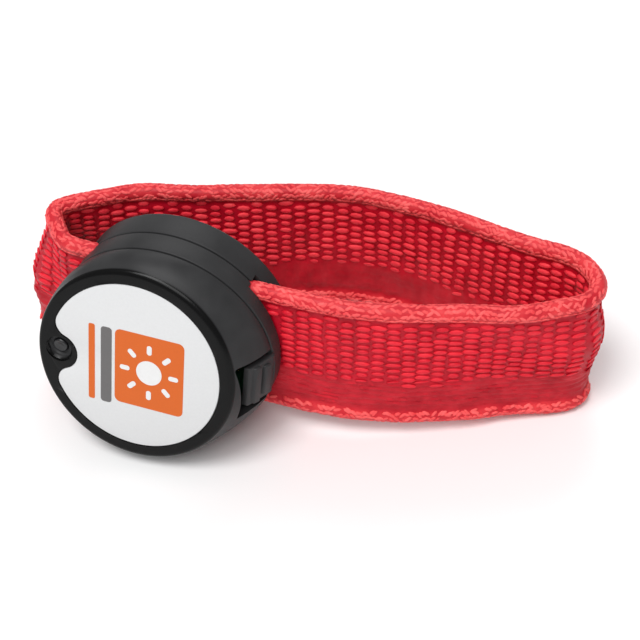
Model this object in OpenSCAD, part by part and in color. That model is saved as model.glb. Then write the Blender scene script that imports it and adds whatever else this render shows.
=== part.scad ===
// Light-up wristband: a closed loop of tubular webbing round a flat light guide,
// with both ends clamped in a round battery housing that carries the switch.
//
// Row frame: X along the housing's width, Y into the loop, Z across the webbing.
// The origin is the centre of the housing's flat face on the wrist side.
// Housing pieces are drawn in their own frame, x right, y up, z outwards, and
// case_frame() turns that frame into the row frame.

/* [Housing] */
// Outer diameter of the round housing
case_d = 37; // [35:0.2:46]
// Height of the back shell, from the wrist face to its parting line
back_h = 5.4; // [4.8:0.1:6.5]
// Height of the middle ring between its two parting lines
ring_h = 4.5; // [4.4:0.1:6]
// Height of the face's centre above the cap's parting line
cap_h = 8.3; // [7.4:0.1:10]
// Wall of the three shells
wall = 1.6; // [1.2:0.1:2]
// Thickness of the wrist-side floor
floor_t = 1.4; // [1.3:0.1:1.8]

/* [Face] */
// Diameter of the cap's front face
face_d = 33.8; // [31:0.2:36]
// How far the face's centre stands left of the housing's axis
face_left = 2.2; // [0:0.1:2.5]
// How far the face's centre stands above the housing's axis
face_up = 0.6; // [0:0.1:1.5]
// Upward rake of the face, in degrees
rake = 12; // [0:0.5:14]
// Diameter of the label
label_d = 29.4; // [26:0.2:30]
// Thickness of the label
label_t = 0.55; // [0.4:0.05:0.8]

/* [Button] */
// Diameter of the power button
button_d = 2.6; // [2:0.1:3.2]
// Travel of the power button
button_travel = 0.5; // [0.3:0.1:0.6]
// Distance from the face's centre to the button, to the left
button_out = 13.1; // [12.4:0.1:13.4]

/* [Webbing] */
// Width of the webbing
strap_w = 25; // [20:0.5:26]
// Thickness of the flattened webbing tube
strap_t = 2.8; // [2.4:0.1:3]
// Width of the light guide inside it
guide_w = 14; // [8:0.5:16]
// Thickness of the light guide
guide_t = 1.2; // [0.8:0.1:1.3]
// Reach of the loop to the right of the housing's axis
loop_reach = 67; // [62:1:90]
// Distance from the wrist face to the far side of the loop
loop_depth = 23.6; // [22:0.2:45]

/* [Electrics] */
// Diameter of a coin cell
cell_d = 20; // [16:0.5:21]
// Thickness of a coin cell
cell_t = 1.6; // [1.2:0.1:1.6]
// Thickness of the circuit board
board_t = 0.8; // [0.6:0.1:1]

/* [Hidden] */

$fn = 96;
fit = 0.1;            // gap of a loose fit
snug = 0.03;          // gap of a close fit
cut = 1;              // how far a cut runs past the solid
overrun = 0.01;       // the same, where a cut keeps to its neighbour
edge = 0.8;           // chamfer of the wrist-side edge

case_r = case_d / 2;
inner_r = case_r - wall;
plane_a = back_h;               // back shell to middle ring
plane_b = back_h + ring_h;      // middle ring to front cap
face_r = face_d / 2;
face_z = plane_b + cap_h;
face_edge = 0.5;                // chamfer round the face

strap_z = back_h - 0.1;         // middle of the webbing, in the case frame
slot_low = strap_z - strap_t / 2 - fit;
slot_high = strap_z + strap_t / 2 + fit;
slot_w = strap_w + 6 * fit;
strap_in = 0.5 * case_r + 1.8;  // how far from the axis the webbing ends
guide_in = strap_in - 0.4;
guide_gap = 0.1;

skin = 1.4;                     // cap's skin behind the label
recess = label_t + 0.05;        // the label lies just under the rim
skin_depth = recess + skin;

button_r = button_d / 2;
button_x = -face_left - button_out;
button_y = face_up + 0.1;
pocket_r = button_r + 0.8;
pocket_depth = 1;
button_sunk = 0.45;             // the button's top below the face
flange_t = 0.7;
flange_r = button_r + 0.7;
boss_r = button_r + 1.2;
stem_r = 0.9;

board_z = plane_b - 1;          // underside of the board
board_top = board_z + board_t;
board_r = inner_r - 0.25;

switch_h = 2;
switch_size = [2.6, 3.6];
plunger_r = 0.7;
plunger_up = button_travel + 0.1;   // plunger above the switch body, so that it never sinks flush
plunger_deep = 1;               // plunger inside the switch body
switch_top = board_top + switch_h;
stem_bottom = switch_top + plunger_up;
flange_low = stem_bottom + 0.6;
boss_low = flange_low + flange_t + fit;

cell_r = cell_d / 2;
cell_y = -1;
holder_wall = 0.9;
holder_gap = 0.2;
holder_floor = 0.4;
contact_t = 0.2;
cell_z = board_top + holder_floor + contact_t;
stack_top = cell_z + 2 * cell_t;
holder_h = holder_floor + contact_t + 1.5 * cell_t;

screw_r = 0.75;                 // shank of every screw
screw_head_r = 1.5;
screw_head_h = 0.9;
head_seat = 1.1;                // depth of a case screw's counterbore
pillar_r = 1.9;
pillar_at = inner_r - 1.6;      // from the axis to a case screw
pillar_angles = [65, 115, 245, 295];

clamp_t = 0.9;
clamp_low = slot_high - fit / 2;
clamp_x0 = strap_in + 0.3;
clamp_x1 = strap_in + 3.4;
clamp_screw_x = strap_in + 1.5;
clamp_screw_y = guide_w / 2 + 1.5;
clamp_half = 11;

led_len = 2.8;
led_half = 2.2;
led_h = 3;
led_lens_r = 1.1;
led_lens = 0.3;
led_x = guide_in - 0.3 - led_lens - led_len; // inner end of an LED's body

catch_angle = -5;               // the catch sits a little below the housing's right
window_half = 5.4;              // half the thumb notch's height
window_low = plane_b;
window_high = plane_b + 0.83 * cap_h;
tongue_half = window_half - 1.2;
tongue_h = 0.56 * cap_h;
tongue_t = 1.2;
rib_h = 1.4;
rib_out = 0.35;

notch_r = 4.1;                  // round notch in the label, about the button
notch_round = 2.2;

// Corners of the webbing's route in the row frame, each [x, y, radius of the bend].
// It leaves the housing on the right, goes round the wrist and comes back on the left.
route = [
    [strap_in, -strap_z, 0],
    [case_r + 10.5, -strap_z, 40],
    [loop_reach, 0.47 * loop_depth, 4.2],
    [loop_reach - 3.5, 0.8 * loop_depth, 6],
    [24, loop_depth, 40],
    [-case_r + 2.5, 0.45 * loop_depth, 20],
    [-case_r - 7.7, 0.11 * loop_depth, 2],
    [-case_r - 1.2, -strap_z, 2.4],
    [-strap_in, -strap_z, 0]
];
bend_step = 7.5;                // degrees between points on a bend

function unit(v) = v / norm(v);
function heading(v) = atan2(v[1], v[0]);
function wrap(a) = a > 180 ? a - 360 : a < -180 ? a + 360 : a;

// Points [x, y, heading] along the route, with each corner rounded to its radius, or
// to what half of the shorter stretch beside it leaves room for.
function bend(p) = let(
        a = [for (i = [1 : len(p) - 2]) let(
            into = unit([p[i][0] - p[i - 1][0], p[i][1] - p[i - 1][1]]),
            out = unit([p[i + 1][0] - p[i][0], p[i + 1][1] - p[i][1]]),
            turn = wrap(heading(out) - heading(into)),
            side = turn > 0 ? 1 : -1,
            room = min(norm([p[i][0] - p[i - 1][0], p[i][1] - p[i - 1][1]]),
                       norm([p[i + 1][0] - p[i][0], p[i + 1][1] - p[i][1]])) / 2,
            r = min(p[i][2], room / tan(abs(turn) / 2)),
            start = [p[i][0], p[i][1]] - into * r * tan(abs(turn) / 2),
            centre = start + side * r * [-into[1], into[0]],
            steps = max(1, ceil(abs(turn) / bend_step)))
            for (k = [0 : steps]) let(
                h = heading(into) + turn * k / steps)
                [centre[0] + side * r * sin(h), centre[1] - side * r * cos(h), h]])
    concat([[p[0][0], p[0][1], a[0][2]]], a,
           [[p[len(p) - 1][0], p[len(p) - 1][1], a[len(a) - 1][2]]]);

// Outline of a ribbon of thickness t along the route.
function ribbon(p, t) = concat(
    [for (q = p) [q[0] - t / 2 * sin(q[2]), q[1] + t / 2 * cos(q[2])]],
    [for (i = [len(p) - 1 : -1 : 0]) let(q = p[i])
        [q[0] + t / 2 * sin(q[2]), q[1] - t / 2 * cos(q[2])]]);

// The route, with both ends moved towards the axis by extra.
function route_to(extra) = [for (i = [0 : len(route) - 1])
    i == 0 ? [route[i][0] - extra, route[i][1], 0] :
    i == len(route) - 1 ? [route[i][0] + extra, route[i][1], 0] : route[i]];

// Height of the raked face at a place up the case.
function face_at(y) = face_z - (y - face_up) * tan(rake);
// Outer surface of the cap on the right, at a height above its parting line.
function side_at(h) = case_r - (case_r - face_r + face_left) * h / cap_h;

module case_frame() rotate([90, 0, 0]) children();

module on_face() translate([-face_left, face_up, face_z]) rotate([-rake, 0, 0]) children();

module both_sides() for (s = [1, -1]) scale_x(s) children();

module scale_x(s) if (s > 0) children(); else mirror([1, 0, 0]) children();

module at_pillars() for (a = pillar_angles)
    translate([pillar_at * cos(a), pillar_at * sin(a), 0]) children();

module at_clamp_screws(s) for (y = [-clamp_screw_y, clamp_screw_y])
    translate([s * clamp_screw_x, y, 0]) children();

module strap_slots() both_sides()
    translate([strap_in - cut, -slot_w / 2, slot_low])
        cube([case_r - strap_in + 2 * cut, slot_w, slot_high - slot_low]);

// Pan-head screw with a cross recess: head up from z 0, shank down.
module screw(length) difference() {
    union() {
        cylinder(r1 = screw_head_r, r2 = screw_head_r - 0.25, h = screw_head_h);
        translate([0, 0, -length]) cylinder(r = screw_r, h = length + 0.1);
    }
    for (a = [0, 90]) rotate(a)
        translate([-0.9, -0.16, screw_head_h - 0.45]) cube([1.8, 0.32, 1]);
}

module back_shell() color("#1d1e20") case_frame() difference() {
    union() {
        difference() {
            union() {
                cylinder(r1 = case_r - edge, r2 = case_r, h = edge);
                translate([0, 0, edge]) cylinder(r = case_r, h = back_h - edge);
            }
            translate([0, 0, floor_t]) cylinder(r = inner_r, h = back_h);
        }
        intersection() {
            translate([0, 0, floor_t - 0.2]) cylinder(r = inner_r + 0.2, h = back_h);
            union() {
                both_sides() translate([strap_in, -slot_w / 2, floor_t - 0.2])
                    cube([case_r - strap_in, slot_w, slot_low - floor_t + 0.2]);
                at_pillars() cylinder(r = pillar_r, h = back_h);
            }
        }
    }
    strap_slots();
    at_pillars() {
        translate([0, 0, -cut]) cylinder(r = screw_r + fit, h = back_h + 2 * cut);
        translate([0, 0, -cut]) cylinder(r = screw_head_r + fit, h = head_seat + cut);
    }
    for (s = [1, -1]) at_clamp_screws(s)
        translate([0, 0, 0.7]) cylinder(r = screw_r + snug, h = back_h);
}

// Sprung thumb tongue that fills the lower part of the cap's notch, with two ribs.
module thumb_tongue() rotate(catch_angle) {
    rotate([90, 0, 0]) linear_extrude(2 * tongue_half, center = true) polygon([
        [inner_r, plane_b - 0.5],
        [case_r - fit, plane_b - 0.5],
        [case_r - fit, plane_b],
        [side_at(tongue_h) - fit, plane_b + tongue_h],
        [side_at(tongue_h) - fit - tongue_t, plane_b + tongue_h]
    ]);
    for (h = [0.22, 0.62] * tongue_h)
        rotate([90, 0, 0]) linear_extrude(2 * tongue_half - 0.6, center = true) polygon([
            [side_at(h) - 0.5, plane_b + h],
            [side_at(h) + rib_out, plane_b + h + 0.3],
            [side_at(h + rib_h) + rib_out, plane_b + h + rib_h - 0.3],
            [side_at(h + rib_h) - 0.5, plane_b + h + rib_h]
        ]);
}

module middle_ring() color("#232426") case_frame() {
    difference() {
        union() {
            difference() {
                translate([0, 0, plane_a]) cylinder(r = case_r, h = ring_h);
                translate([0, 0, plane_a - cut]) cylinder(r = inner_r, h = ring_h + 2 * cut);
            }
            intersection() {
                cylinder(r = inner_r + 0.2, h = board_z);
                at_pillars() translate([0, 0, plane_a])
                    cylinder(r = pillar_r, h = board_z - plane_a);
            }
        }
        strap_slots();
        at_pillars() translate([0, 0, plane_a - cut])
            cylinder(r = screw_r + snug, h = board_z - plane_a + cut - 0.5);
    }
    thumb_tongue();
}

// Solid between a disc on the parting line and a disc on the raked face.
module cap_body(base_r, top_r, top_down, bevel) hull() {
    translate([0, 0, plane_b]) cylinder(r = base_r, h = 0.3);
    on_face() translate([0, 0, -top_down - bevel - 0.3])
        cylinder(r = top_r, h = 0.3);
    on_face() translate([0, 0, -top_down - bevel])
        cylinder(r1 = top_r, r2 = top_r - bevel, h = bevel);
}

// The cavity under the cap's skin, just past the parting line.
module cap_inside() translate([0, 0, -overrun])
    cap_body(inner_r, face_r - wall - 0.6, skin_depth, 0.2);

// Round label outline with the notch about the button, its corners rounded.
module label_outline(grow) offset(r = notch_round + grow) offset(delta = -notch_round)
    difference() {
        circle(r = label_d / 2);
        translate([-button_out, 0.1]) circle(r = notch_r);
        translate([-button_out - 2 * notch_r, 0.1 - notch_r])
            square([2 * notch_r, 2 * notch_r]);
    }

module front_cap() color("#26272a") case_frame() difference() {
    union() {
        difference() {
            cap_body(case_r, face_r, 0, face_edge);
            cap_inside();
        }
        intersection() {
            cap_body(case_r, face_r, 0, face_edge);
            translate([button_x, button_y, boss_low])
                cylinder(r = boss_r, h = face_z + cut - boss_low);
        }
    }
    on_face() translate([0, 0, -recess]) linear_extrude(recess + cut)
        label_outline(fit);
    translate([button_x, button_y, boss_low - cut])
        cylinder(r = button_r + 0.06, h = face_z);
    translate([button_x, button_y, face_at(button_y) - pocket_depth])
        cylinder(r = pocket_r, h = pocket_depth + cut);
    translate([button_x, button_y, plane_b - cut])
        cylinder(r = flange_r + fit, h = boss_low - plane_b + cut);
    rotate(catch_angle) translate([0.5 * case_r, -window_half, window_low - cut])
        cube([case_r, 2 * window_half, window_high - window_low + cut]);
}

module face_label() color("#f4f4f2") case_frame() on_face()
    translate([0, 0, -recess]) linear_extrude(label_t) label_outline(0);

module power_button() color("#17181a") case_frame() translate([button_x, button_y, 0]) {
    top = face_at(button_y) - button_sunk;
    translate([0, 0, stem_bottom]) cylinder(r = stem_r, h = flange_low - stem_bottom + 0.1);
    translate([0, 0, flange_low]) cylinder(r = flange_r, h = flange_t);
    translate([0, 0, flange_low]) cylinder(r = button_r, h = top - flange_low - 0.25);
    translate([0, 0, top - 0.25]) cylinder(r1 = button_r, r2 = button_r - 0.25, h = 0.25);
}

module webbing_sleeve() color("#d8122c") difference() {
    linear_extrude(strap_w, center = true) polygon(ribbon(bend(route), strap_t));
    linear_extrude(guide_w + 2 * guide_gap, center = true)
        polygon(ribbon(bend(route_to(cut)), guide_t + 2 * guide_gap));
    case_frame() for (s = [1, -1]) at_clamp_screws(s)
        cylinder(r = screw_r + fit, h = plane_b);
}

module light_guide() color("#ffd8d8") linear_extrude(guide_w, center = true)
    polygon(ribbon(bend(route_to(strap_in - guide_in)), guide_t));

module clamp_plate(s) color("#c3c6c9") case_frame() difference() {
    intersection() {
        translate([0, 0, clamp_low]) cylinder(r = inner_r - 0.3, h = clamp_t);
        scale_x(s) translate([clamp_x0, -clamp_half, clamp_low])
            cube([clamp_x1 - clamp_x0, 2 * clamp_half, clamp_t]);
    }
    at_clamp_screws(s) cylinder(r = screw_r + fit, h = plane_b);
}

module clamp_screws() color("#b9bcc0") case_frame() for (s = [1, -1]) at_clamp_screws(s)
    translate([0, 0, clamp_low + clamp_t]) screw(clamp_low + clamp_t - 1);

module case_screws() color("#9ea1a5") case_frame() at_pillars()
    translate([0, 0, head_seat]) rotate([180, 0, 0]) screw(board_z - head_seat - 0.8);

module circuit_board() color("#1f6b3a") case_frame()
    translate([0, 0, board_z]) cylinder(r = board_r, h = board_t);

module led(s) color("#f2ead2") case_frame() scale_x(s) {
    translate([led_x, -led_half, strap_z - led_h / 2]) cube([led_len, 2 * led_half, led_h]);
    translate([led_x + led_len, 0, strap_z]) rotate([0, 90, 0])
        cylinder(r = led_lens_r, h = led_lens);
    for (y = [-1.2, 1.2]) translate([led_x + 0.8, y - 0.2, strap_z])
        cube([0.4, 0.4, board_z - strap_z]);
}

module switch_body() color("#8d9094") case_frame() difference() {
    translate([button_x - switch_size[0] / 2 + 0.2, button_y - switch_size[1] / 2, board_top])
        cube([switch_size[0], switch_size[1], switch_h]);
    translate([button_x, button_y, switch_top - plunger_deep - 0.7])
        cylinder(r = plunger_r + 0.05, h = switch_h);
}

module switch_plunger() color("#caa24a") case_frame()
    translate([button_x, button_y, switch_top - plunger_deep])
        cylinder(r = plunger_r, h = plunger_deep + plunger_up);

module controller_chip() color("#2b2b2e") case_frame()
    translate([-2.5, 3, board_z - 1.2]) cube([5, 4, 1.2]);

module resistors() color("#3a3026") case_frame() for (x = [-4.5, -1.5, 1.5, 4.5])
    translate([x - 0.6, -6, board_z - 0.5]) cube([1.2, 2, 0.5]);

module cell(z) color("#d5d8da") case_frame() translate([0, cell_y, z]) {
    cylinder(r1 = cell_r - 0.9, r2 = cell_r - 0.7, h = 0.3);
    translate([0, 0, 0.3]) cylinder(r1 = cell_r - 0.3, r2 = cell_r, h = 0.3);
    translate([0, 0, 0.6]) cylinder(r = cell_r, h = cell_t - 0.6);
}

module battery_holder() color("#3c3e42") case_frame() translate([0, cell_y, board_top])
    difference() {
        cylinder(r = cell_r + holder_gap + holder_wall, h = holder_h);
        translate([0, 0, holder_floor]) cylinder(r = cell_r + holder_gap, h = holder_h);
        translate([0, 0, -cut]) cylinder(r = 0.6 * cell_r, h = holder_h);
        translate([cell_r - 0.6, -2.3, -cut]) cube([4, 4.6, holder_h + 2 * cut]);
    }

module positive_contact() color("#d9b65a") case_frame() translate([cell_r + 0.03, cell_y, board_top]) {
    translate([0, -2, 0]) cube([contact_t, 4, holder_h]);
    translate([0, -2, 0]) cube([2.4, 4, contact_t]);
}

module negative_contact() color("#d9b65a") case_frame() translate([0, cell_y, board_top]) {
    cylinder(r = 0.5 * cell_r, h = contact_t);
    for (a = [0, 120, 240]) rotate(a) translate([0.35 * cell_r, 0, 0])
        cylinder(r1 = 0.9, r2 = 0.5, h = cell_z - board_top);
}

module battery_pad() color("#5a5d61") case_frame() intersection() {
    translate([0, cell_y, stack_top + 0.05]) cylinder(r = 0.6 * cell_r, h = face_z);
    cap_inside();
}

back_shell();
middle_ring();
front_cap();
face_label();
power_button();
webbing_sleeve();
light_guide();
clamp_plate(-1);  // clamp_left
clamp_plate(1);  // clamp_right
clamp_screws();
case_screws();
circuit_board();
led(-1);  // led_left
led(1);  // led_right
switch_body();
switch_plunger();
controller_chip();
resistors();
cell(cell_z + cell_t);  // cell_front
cell(cell_z);  // cell_rear
battery_holder();
positive_contact();
negative_contact();
battery_pad();
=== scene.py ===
import bpy
import bmesh
import math
import random
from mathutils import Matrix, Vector, noise


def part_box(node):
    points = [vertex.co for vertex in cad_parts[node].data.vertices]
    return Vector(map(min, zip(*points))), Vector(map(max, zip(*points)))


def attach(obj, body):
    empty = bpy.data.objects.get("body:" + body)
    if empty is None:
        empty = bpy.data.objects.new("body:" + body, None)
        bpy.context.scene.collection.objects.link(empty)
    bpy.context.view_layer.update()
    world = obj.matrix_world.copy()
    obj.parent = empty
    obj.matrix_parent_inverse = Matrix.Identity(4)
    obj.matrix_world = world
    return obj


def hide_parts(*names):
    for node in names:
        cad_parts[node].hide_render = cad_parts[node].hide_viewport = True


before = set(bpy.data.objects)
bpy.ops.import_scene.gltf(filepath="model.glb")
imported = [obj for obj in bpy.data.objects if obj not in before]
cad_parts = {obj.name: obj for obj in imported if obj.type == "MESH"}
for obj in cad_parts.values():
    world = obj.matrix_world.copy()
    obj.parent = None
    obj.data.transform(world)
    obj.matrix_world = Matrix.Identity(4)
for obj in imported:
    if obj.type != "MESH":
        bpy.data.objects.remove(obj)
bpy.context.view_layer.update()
mm = 0.001
print("frame loaded")


# sizes in millimetres, the outer ones read off the frame

def boxMm(node):
    low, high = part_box(node)
    return [v / mm for v in low], [v / mm for v in high]


shellLow, shellHigh = boxMm("back_shell")
webHigh = boxMm("webbing_sleeve")[1]
buttonLow, buttonHigh = boxMm("power_button")

housing = {
    "radius": shellHigh[0],
    "planeA": -shellLow[1],       # back shell to middle ring
    "planeB": 9.9,                # middle ring to front cap
    "wall": 1.6,
    "floor": 1.4,
    "steps": 192,                 # points round each circle
    "seam": 0.22,                 # rounding beside each parting line
    "gap": 0.3,                   # shadow gap at each parting line
    "gapDeep": 0.7,
    "backEdge": 1.0,
    "slotHalf": webHigh[2] + 0.3,
    "slotLow": 3.8,
    "slotHigh": 6.8,
    "slotIn": 10.0,
}
face = {
    "radius": 16.9,
    "left": 2.2,
    "up": 0.6,
    "height": 18.2,               # centre of the face above the wrist side
    "rake": math.radians(12),
    "rim": 0.8,                   # rounding round the rim
    "swell": 0.4,                 # how far the flank bows out between rim and parting line
    "recess": 0.6,
    "skin": 1.4,
}
label = {
    "radius": 14.7,
    "thick": 0.52,
    "lift": 0.01,
    "edge": 0.12,
    "buttonOut": 13.1,
    "notch": 3.2,
    "notchRound": 2.5,
    "notchUp": -0.5,
}
button = {
    "x": (buttonLow[0] + buttonHigh[0]) / 2,
    "y": (buttonLow[2] + buttonHigh[2]) / 2,
    "radius": 1.3,
    "flange": 2.0,
    "pocket": 2.05,               # radius of the dish round the button
    "pocketDeep": 1.0,
    "pocketRound": 0.35,
    "play": 0.07,
    "bossWall": 1.2,
    "bossDeep": 2.6,
    "top": -buttonLow[1],
    "low": -buttonHigh[1],
}
innerRadius = housing["radius"] - housing["wall"]


# housing pieces are worked out x right, y up, z out of the wrist side

def toRow(p):
    return Vector((p[0], -p[2], p[1])) * mm


def onFace(x, y, z=0.0):
    c, s = math.cos(face["rake"]), math.sin(face["rake"])
    return (x - face["left"], y * c + z * s + face["up"], -y * s + z * c + face["height"])


def circle(radius, z, count=housing["steps"], centre=(0.0, 0.0)):
    angles = [2 * math.pi * i / count for i in range(count)]
    return [(centre[0] + radius * math.cos(a), centre[1] + radius * math.sin(a), z) for a in angles]


def faceCircle(radius, height=0.0):
    return [onFace(x, y, height) for x, y, z in circle(radius, 0)]     # on the raked face


def arc(centre, radius, start, end, count):
    angles = [math.radians(start + (end - start) * i / count) for i in range(count + 1)]
    return [(centre[0] + radius * math.cos(a), centre[1] + radius * math.sin(a)) for a in angles]


def turned(x, y, angle):
    c, s = math.cos(angle), math.sin(angle)
    return x * c - y * s, x * s + y * c


def addObject(name, data):
    obj = bpy.data.objects.new(name, data)
    bpy.context.scene.collection.objects.link(obj)
    return obj


def makeObject(name, verts, faces, sharp=38):
    mesh = bpy.data.meshes.new(name)
    mesh.from_pydata([tuple(v) for v in verts], [], faces)
    bm = bmesh.new()
    bm.from_mesh(mesh)
    bmesh.ops.remove_doubles(bm, verts=bm.verts, dist=1e-7)
    bmesh.ops.recalc_face_normals(bm, faces=bm.faces)
    bm.to_mesh(mesh)
    bm.free()
    obj = addObject(name, mesh)
    shadeSmooth(obj, sharp)
    return obj


def shadeSmooth(obj, sharp=38):
    obj.data.polygons.foreach_set("use_smooth", [True] * len(obj.data.polygons))
    obj.data.set_sharp_from_angle(angle=math.radians(sharp))


def loft(name, rings, closed=False, place=toRow):
    count = len(rings[0])
    verts = [place(p) for ring in rings for p in ring]
    faces = []
    last = len(rings) if closed else len(rings) - 1
    for r in range(last):
        a, b = r * count, ((r + 1) % len(rings)) * count
        faces += [(a + i, a + (i + 1) % count, b + (i + 1) % count, b + i) for i in range(count)]
    if not closed:
        faces.append(tuple(range(count)))
        faces.append(tuple(range((len(rings) - 1) * count, len(rings) * count)))
    return makeObject(name, verts, faces)


def lathe(name, profile, centre, count):
    return loft(name, [circle(r, z, count, centre) for r, z in profile])


def settle(obj):
    evaluated = obj.evaluated_get(bpy.context.evaluated_depsgraph_get())
    mesh = bpy.data.meshes.new_from_object(evaluated)
    obj.modifiers.clear()
    obj.data = mesh


def soften(obj, width, segments):
    bevel = obj.modifiers.new("soften", "BEVEL")
    bevel.width = width * mm
    bevel.segments = segments
    return bevel


def carve(obj, cutters, edge=0.0):
    for cutter in cutters:
        cut = obj.modifiers.new("cut", "BOOLEAN")
        cut.operation = "DIFFERENCE"
        cut.solver = "EXACT"
        cut.object = cutter
        settle(obj)
        bpy.data.objects.remove(cutter)
    if edge:
        bevel = soften(obj, edge, 2)
        bevel.limit_method = "ANGLE"
        bevel.angle_limit = math.radians(40)
        settle(obj)
    shadeSmooth(obj)


def join(name, parts):
    bm = bmesh.new()
    for part in parts:
        bm.from_mesh(part.data)
        bpy.data.objects.remove(part)
    mesh = bpy.data.meshes.new(name)
    bm.to_mesh(mesh)
    bm.free()
    obj = addObject(name, mesh)
    shadeSmooth(obj)
    return obj


def block(name, low, high, round=0.0, turn=0.0):
    x0, y0, z0 = low
    x1, y1, z1 = high
    turn = math.radians(turn)
    verts = [toRow((*turned(x, y, turn), z)) for z in (z0, z1) for y in (y0, y1) for x in (x0, x1)]
    faces = [(0, 1, 3, 2), (4, 6, 7, 5), (0, 4, 5, 1), (2, 3, 7, 6), (0, 2, 6, 4), (1, 5, 7, 3)]
    obj = makeObject(name, verts, faces)
    if round:
        soften(obj, round, 4)
        settle(obj)
        shadeSmooth(obj)
    return obj


def finishPiece(obj, body, material, nodes=()):
    obj.data.materials.clear()
    obj.data.materials.append(material)
    for polygon in obj.data.polygons:
        polygon.material_index = 0
    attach(obj, body)
    if nodes:
        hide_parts(*nodes)
    return obj


def newMaterial(name, color, roughness, **sockets):
    material = bpy.data.materials.new(name)
    material.use_nodes = True
    tree = material.node_tree
    shader = tree.nodes["Principled BSDF"]
    shader.inputs["Base Color"].default_value = (*color, 1)
    shader.inputs["Roughness"].default_value = roughness
    for socket, value in sockets.items():
        shader.inputs[socket.replace("_", " ")].default_value = value
    coords = tree.nodes.new("ShaderNodeTexCoord")
    return material, tree, shader, coords.outputs["Object"]


def noiseNode(tree, coords, scale, detail):
    node = tree.nodes.new("ShaderNodeTexNoise")
    node.inputs["Scale"].default_value = scale
    node.inputs["Detail"].default_value = detail
    node.inputs["Roughness"].default_value = 0.55
    tree.links.new(coords, node.inputs["Vector"])
    return node.outputs["Fac"]


def remap(tree, value, low, high, fromLow=0.3, fromHigh=0.7):
    node = tree.nodes.new("ShaderNodeMapRange")
    for socket, number in zip(("From Min", "From Max", "To Min", "To Max"), (fromLow, fromHigh, low, high)):
        node.inputs[socket].default_value = number
    tree.links.new(value, node.inputs["Value"])
    return node.outputs["Result"]


def maths(tree, operation, *values):
    node = tree.nodes.new("ShaderNodeMath")
    node.operation = operation
    for socket, value in zip(node.inputs, values):
        if isinstance(value, float):
            socket.default_value = value
        else:
            tree.links.new(value, socket)
    return node.outputs[0]


def attribute(tree, name):
    node = tree.nodes.new("ShaderNodeAttribute")
    node.attribute_name = name
    return node.outputs["Fac"]


def mixColor(tree, factor, colorA, colorB):
    node = tree.nodes.new("ShaderNodeMix")
    node.data_type = "RGBA"
    tree.links.new(factor, node.inputs["Factor"])
    for socket, color in ((6, colorA), (7, colorB)):
        if isinstance(color, tuple):
            node.inputs[socket].default_value = (*color, 1)
        else:
            tree.links.new(color, node.inputs[socket])
    return node.outputs[2]


def addBump(tree, shader, height, strength, distance):
    node = tree.nodes.new("ShaderNodeBump")
    node.inputs["Strength"].default_value = strength
    node.inputs["Distance"].default_value = distance * mm
    tree.links.new(height, node.inputs["Height"])
    tree.links.new(node.outputs["Normal"], shader.inputs["Normal"])


def mouldedPlastic(name, color, roughness, grain=0.5, spread=0.06, specular=0.5):
    material, tree, shader, coords = newMaterial(name, color, roughness, Specular_IOR_Level=specular)
    broad = noiseNode(tree, coords, 180, 2)
    fine = noiseNode(tree, coords, 5200, 2)
    lighter = tuple(c * 1.25 + 0.002 for c in color)
    tree.links.new(mixColor(tree, remap(tree, broad, 0, 1), color, lighter), shader.inputs["Base Color"])
    tree.links.new(remap(tree, broad, roughness - spread, roughness + spread), shader.inputs["Roughness"])
    addBump(tree, shader, fine, grain, 0.02)
    return material


def capPlastic(name, color):
    material, tree, shader, coords = newMaterial(name, color, 0.4, Specular_IOR_Level=0.15)
    outOfFace = Vector((0, -math.cos(face["rake"]), math.sin(face["rake"])))
    normal = tree.nodes.new("ShaderNodeVectorMath")        # height above the raked face
    normal.operation = "DOT_PRODUCT"
    normal.inputs[1].default_value = outOfFace
    tree.links.new(coords, normal.inputs[0])
    faceAt = toRow(onFace(0, 0)).dot(outOfFace)
    rimPolishAndShade = remap(tree, normal.outputs["Value"], 0, 1, faceAt - 0.75 * mm, faceAt - 0.5 * mm)
    broad = noiseNode(tree, coords, 180, 2)
    fine = noiseNode(tree, coords, 5200, 2)
    satin = remap(tree, broad, 0.38, 0.48)
    polish = remap(tree, broad, 0.20, 0.27)
    rough = tree.nodes.new("ShaderNodeMix")
    tree.links.new(rimPolishAndShade, rough.inputs[0])
    tree.links.new(satin, rough.inputs[2])
    tree.links.new(polish, rough.inputs[3])
    tree.links.new(rough.outputs[0], shader.inputs["Roughness"])
    lighter = tuple(c * 1.3 + 0.003 for c in color)
    # the rim is painted near black: painted shade, where the rim faces away from the light; its lower
    # roughness is real polish
    darker = tuple(c * 0.12 for c in color)
    flank = mixColor(tree, remap(tree, broad, 0, 1), color, lighter)
    tree.links.new(mixColor(tree, rimPolishAndShade, flank, darker), shader.inputs["Base Color"])
    addBump(tree, shader, fine, 0.25, 0.02)
    return material


def printedInk(name, color, roughness=0.38):
    material, tree, shader, coords = newMaterial(name, color, roughness, Specular_IOR_Level=0.3)
    speck = noiseNode(tree, coords, 2600, 3)
    lighter = tuple(min(1, c * 1.01) for c in color)
    darker = tuple(c * 0.975 for c in color)
    tree.links.new(mixColor(tree, remap(tree, speck, 0, 1), darker, lighter), shader.inputs["Base Color"])
    tree.links.new(remap(tree, speck, roughness - 0.05, roughness + 0.05), shader.inputs["Roughness"])
    addBump(tree, shader, speck, 0.08, 0.02)
    return material


def metal(name, color, roughness):
    material, tree, shader, coords = newMaterial(name, color, roughness, Metallic=1.0)
    grain = noiseNode(tree, coords, 2400, 4)
    tree.links.new(remap(tree, grain, roughness - 0.08, roughness + 0.1), shader.inputs["Roughness"])
    worn = tuple(c * 0.75 for c in color)
    tree.links.new(mixColor(tree, remap(tree, grain, 0, 1), worn, color), shader.inputs["Base Color"])
    addBump(tree, shader, grain, 0.1, 0.02)
    return material


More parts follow.
